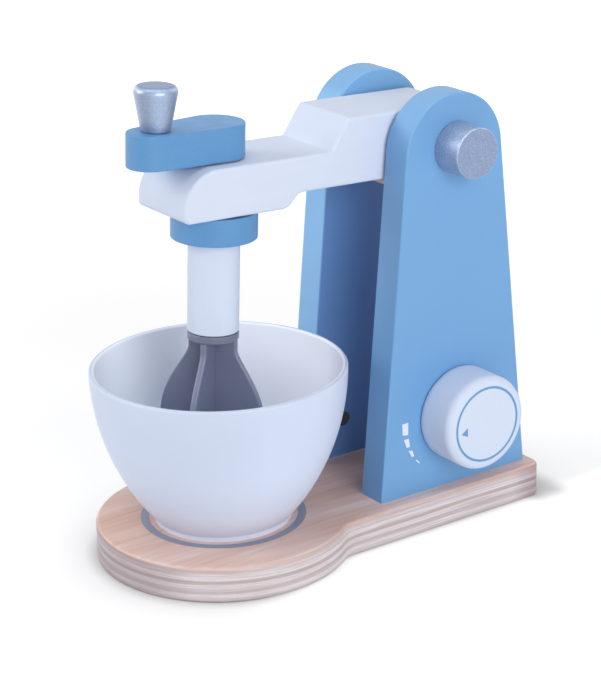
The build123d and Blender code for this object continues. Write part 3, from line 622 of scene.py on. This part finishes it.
def build_camera():
    data = bpy.data.cameras.new("camera")
    data.lens = CAMERA_LENS
    data.sensor_width = CAMERA_SENSOR
    data.sensor_fit = "AUTO"
    data.clip_start, data.clip_end = CAMERA_CLIP
    camera = bpy.data.objects.new("camera", data)
    place_looking(camera, CAMERA_PLACE, CAMERA_TARGET, CAMERA_ROLL)
    bpy.context.scene.camera = camera


def build_lights():
    for name, (place, aim, size, power) in SOFTBOXES.items():
        data = bpy.data.lights.new(name, "AREA")
        data.shape = "RECTANGLE"
        data.size, data.size_y = size
        data.energy = power
        place_looking(bpy.data.objects.new(name, data), place, aim)


def build_world():
    """White all round as it is seen and mirrored, and faint as it lights matt surfaces."""
    world = bpy.data.worlds.new("studio")
    bpy.context.scene.world = world
    world.use_nodes = True
    nodes = Nodes(world.node_tree)
    bounced = nodes.node("ShaderNodeLightPath", output="Is Diffuse Ray")
    strength = 1.0 - bounced * (1.0 - WORLD_LIGHT)
    background = nodes.node("ShaderNodeBackground", None,
                            {"Color": opaque(PURE_WHITE), "Strength": strength})
    nodes.node("ShaderNodeOutputWorld", None, {"Surface": background})


def floor_white():
    """Matt white that glows enough to look white, shaded round the object's foot, with a painted shadow and
    painted light.
    """
    finish = Finish("floor")
    bounced = finish.node("ShaderNodeLightPath", output="Is Diffuse Ray")
    reach = finish.node("ShaderNodeVectorMath", {"operation": "LENGTH"}, {0: finish.place}, output="Value")
    across = finish.along(finish.place, ACROSS)
    along = finish.along(finish.place, ALONG)
    # painted light on the floor at the bright side of the object
    bright = finish.ramp(across, *FLOOR_BRIGHT_ACROSS) * finish.ramp(along, *FLOOR_BRIGHT_ALONG)
    glow = finish.ramp(reach, *FLOOR_GLOW_REACH, *FLOOR_GLOW) + bright * FLOOR_BRIGHT
    for distance, dark, lost in FLOOR_SHADES:
        open_sky = finish.node("ShaderNodeAmbientOcclusion", {"samples": FLOOR_SHADE_SAMPLES},
                               {"Distance": distance}, output="AO")
        glow = glow * (1.0 - (1.0 - open_sky) * (1.0 - bright * lost) * dark)
    # painted shadow on the floor behind the object
    behind = (finish.ramp(along, *BEHIND_FROM) * finish.ramp(along, *BEHIND_TO)
              * finish.ramp(abs(across), *BEHIND_WITHIN))
    glow = glow * (1.0 - bounced) * (1.0 - behind * BEHIND_SHADE)
    return finish.close(finish.mix(bounced, FLOOR_SEEN, FLOOR_LIT), 1.0, Specular_IOR_Level=0.0,
                        Emission_Color=finish.mix(glow, BLACK, PURE_WHITE), Emission_Strength=1.0)


def build_floor():
    mesh = bpy.data.meshes.new("floor")
    form = bmesh.new()
    bmesh.ops.create_grid(form, x_segments=1, y_segments=1, size=FLOOR_SIZE / 2)
    form.to_mesh(mesh)
    form.free()
    floor = bpy.data.objects.new("floor", mesh)
    bpy.context.scene.collection.objects.link(floor)
    mesh.materials.append(floor_white())


# ---------------------------------------------------------------- printed marks
def finish_piece(form, name, body, material):
    """Turn a bmesh into a piece with smooth faces and sharp rims that rides on a body."""
    bmesh.ops.remove_doubles(form, verts=form.verts, dist=WELD * MM)
    bmesh.ops.recalc_face_normals(form, faces=form.faces)
    mesh = bpy.data.meshes.new(name)
    form.to_mesh(mesh)
    form.free()
    mesh.shade_smooth()
    mesh.set_sharp_from_angle(angle=radians(SHARP_ANGLE))
    mesh.materials.append(material)
    piece = bpy.data.objects.new(name, mesh)
    bpy.context.scene.collection.objects.link(piece)
    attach(piece, body)


def printed_ring(name, body, material, centre, axis, radii):
    """A ring of ink round an axis, on the surface at the centre."""
    form = bmesh.new()
    inner, outer = radii
    corners = [(inner, -INK_SUNK), (outer, -INK_SUNK), (outer, INK_PROUD), (inner, INK_PROUD)]
    verts = [form.verts.new(centre + MM * (Vector(ALONG) * reach + axis * level))
             for reach, level in corners]
    for here, there in zip(verts, verts[1:] + verts[:1]):
        form.edges.new((here, there))
    bmesh.ops.spin(form, geom=form.verts[:] + form.edges[:], cent=centre, axis=axis,
                   angle=radians(360.0), steps=ROUND_STEPS, use_merge=True, use_duplicate=False)
    finish_piece(form, name, body, material)


def printed_shape(name, body, material, centre, outline):
    """A flat shape of ink on a face that looks to +X; its outline is back and up from the centre."""
    form = bmesh.new()
    verts = [form.verts.new(centre + MM * Vector((-INK_SUNK, back, up))) for back, up in outline]
    face = form.faces.new(verts)
    raised = bmesh.ops.extrude_face_region(form, geom=[face])["geom"]
    bmesh.ops.translate(form, vec=(MM * (INK_SUNK + INK_PROUD), 0.0, 0.0),
                        verts=[item for item in raised if isinstance(item, bmesh.types.BMVert)])
    finish_piece(form, name, body, material)


def build_marks():
    """The ring on the base, the ring and pointer on the dial, and the scale beside the dial."""
    bowl = middle("bowl")
    dial = middle("dial")
    on_base = Vector((bowl.x, bowl.y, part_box("base_plate")[1].z))
    on_dial = Vector((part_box("dial")[1].x, dial.y, dial.z))
    on_panel = Vector((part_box("right_side_panel")[1].x, dial.y, dial.z))
    blue_ink, grey_ink, white_ink = (ink(name, *look) for name, look in INKS.items())
    printed_ring("base_ring_print", "stand", grey_ink, on_base, Vector(UPWARD), BASE_RING)
    printed_ring("dial_ring_print", "dial", blue_ink, on_dial, Vector(ACROSS), DIAL_RING)
    printed_shape("dial_pointer_print", "dial", blue_ink, on_dial, DIAL_POINTER)
    for number, outline in enumerate(SCALE_BLOCKS, 1):
        printed_shape(f"scale_block_{number}", "stand", white_ink, on_panel, outline)


# ---------------------------------------------------------------- the CAD nodes
def joint_axis(name):
    """The direction of a joint's axis."""
    return next(joint for joint in frame["joints"] if joint["name"] == name)["axis"]


def middle(node):
    """The middle of a CAD node's box."""
    low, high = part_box(node)
    return (low + high) / 2


def dress(material, *nodes):
    """Give CAD nodes this material."""
    for name in nodes:
        mesh = frame["nodes"][name].data
        mesh.materials.clear()
        mesh.materials.append(material)


def dress_nodes():
    """Give every CAD node its finish."""
    spindle_axis = joint_axis("spindle_spin")
    dress(plywood("plywood"), "base_plate")
    dress(panel_blue("blue_right", 0.0), "right_side_panel")
    dress(panel_blue("blue_left", 2.0, FRONT_SHEEN_TINT), "left_side_panel")
    dress(crank_blue("deep_blue", spindle_axis), "crank", "spindle_collar")
    dress(white_paint("white_arm", WHITE, GRAIN_ALONG, 5.0), "arm")
    dress(white_paint("white_shaft", SHAFT_WHITE, GRAIN_UP, 7.0), "spindle_shaft")
    dress(dial_white("white_dial"), "dial")
    dress(silver("silver_knobs", ACROSS, AXLE_KNOB_END_SHADE, AXLE_KNOB_END_SHADE_TINT, sparkle=AXLE_KNOB_SPARKLE),
          "left_axle_knob", "right_axle_knob")
    dress(silver("silver_crank_knob", spindle_axis, CRANK_KNOB_END_SHADE, CRANK_KNOB_END_SHADE_TINT,
                 reflection_band=CRANK_KNOB_REFLECTION_BAND), "crank_knob")
    dress(grey_paint("grey"), "whisk")
    dress(bowl_white("bowl_white"), "bowl")
    dress(bare_wood("bare_wood"), "arm_axle", "arm_stop_dowel", "panel_dowels", "spindle_dowel")
    dress(dark_wood("dark_wood"), "left_panel_plug")
    dress(steel("steel"), "panel_screws", "left_axle_washer", "right_axle_washer", "crank_knob_screw",
          "crank_washer", "collar_washer", "dial_washer", "dial_screw")


build_camera()
build_lights()
build_world()
build_floor()
dress_nodes()
build_marks()

bpy.context.scene.view_settings.view_transform = "Standard"
